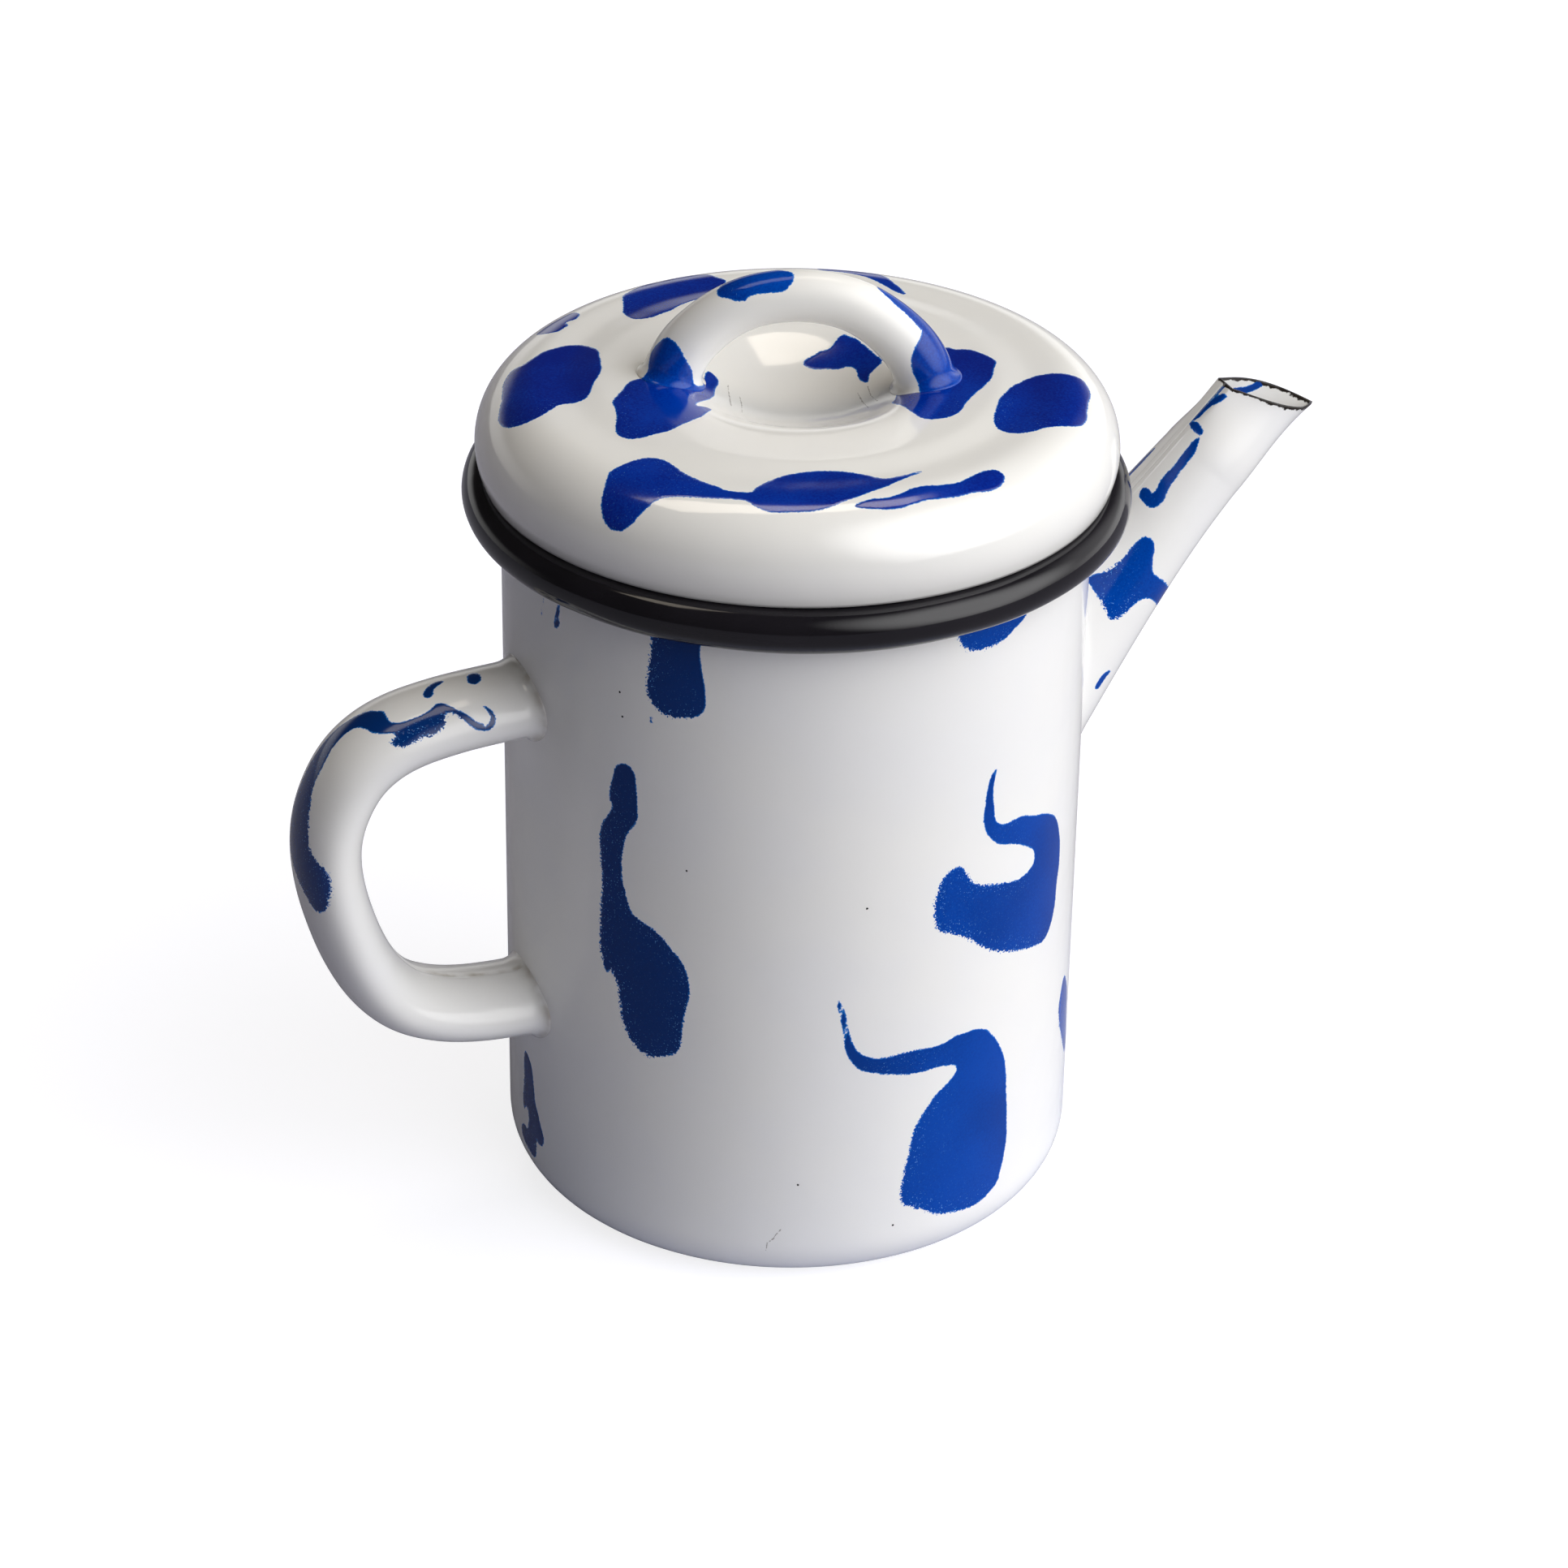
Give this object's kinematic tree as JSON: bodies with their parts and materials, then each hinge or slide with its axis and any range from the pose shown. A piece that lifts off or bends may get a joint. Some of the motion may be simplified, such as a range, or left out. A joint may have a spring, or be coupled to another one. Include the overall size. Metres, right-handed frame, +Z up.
{
  "type": "teapot with lift-off lid",
  "caption": "Cylindrical enamelled steel pot with a curled rim, slanted two-piece spout, rolled side handle, and a deep lift-off lid with an arched handle over its dished middle.",
  "frame": {"origin": "centre of the flat panel of the base, on the surface that the pot stands on", "axes": "+Z up along the pot's axis, +X towards the spout, the side handle towards -X"},
  "size_m": [0.1888, 0.1128, 0.169],
  "materials": {
    "white_enamel": "glossy white vitreous enamel on steel sheet, with cobalt blue splashes in the visual model",
    "black_enamel": "glossy black vitreous enamel on steel sheet"
  },
  "bodies": {
    "pot": {"pot_body": "white_enamel", "pot_rim": "black_enamel", "side_handle": "white_enamel", "spout_near_half": "white_enamel", "spout_far_half": "white_enamel"},
    "lid": {"lid_shell": "white_enamel", "lid_collar": "white_enamel", "lid_handle": "white_enamel"}
  },
  "joints": [
    {"name": "lid_lift", "type": "slide", "parent": "pot", "child": "lid", "axis": [0, 0, 1], "range_m": [0, 0.05]}
  ]
}
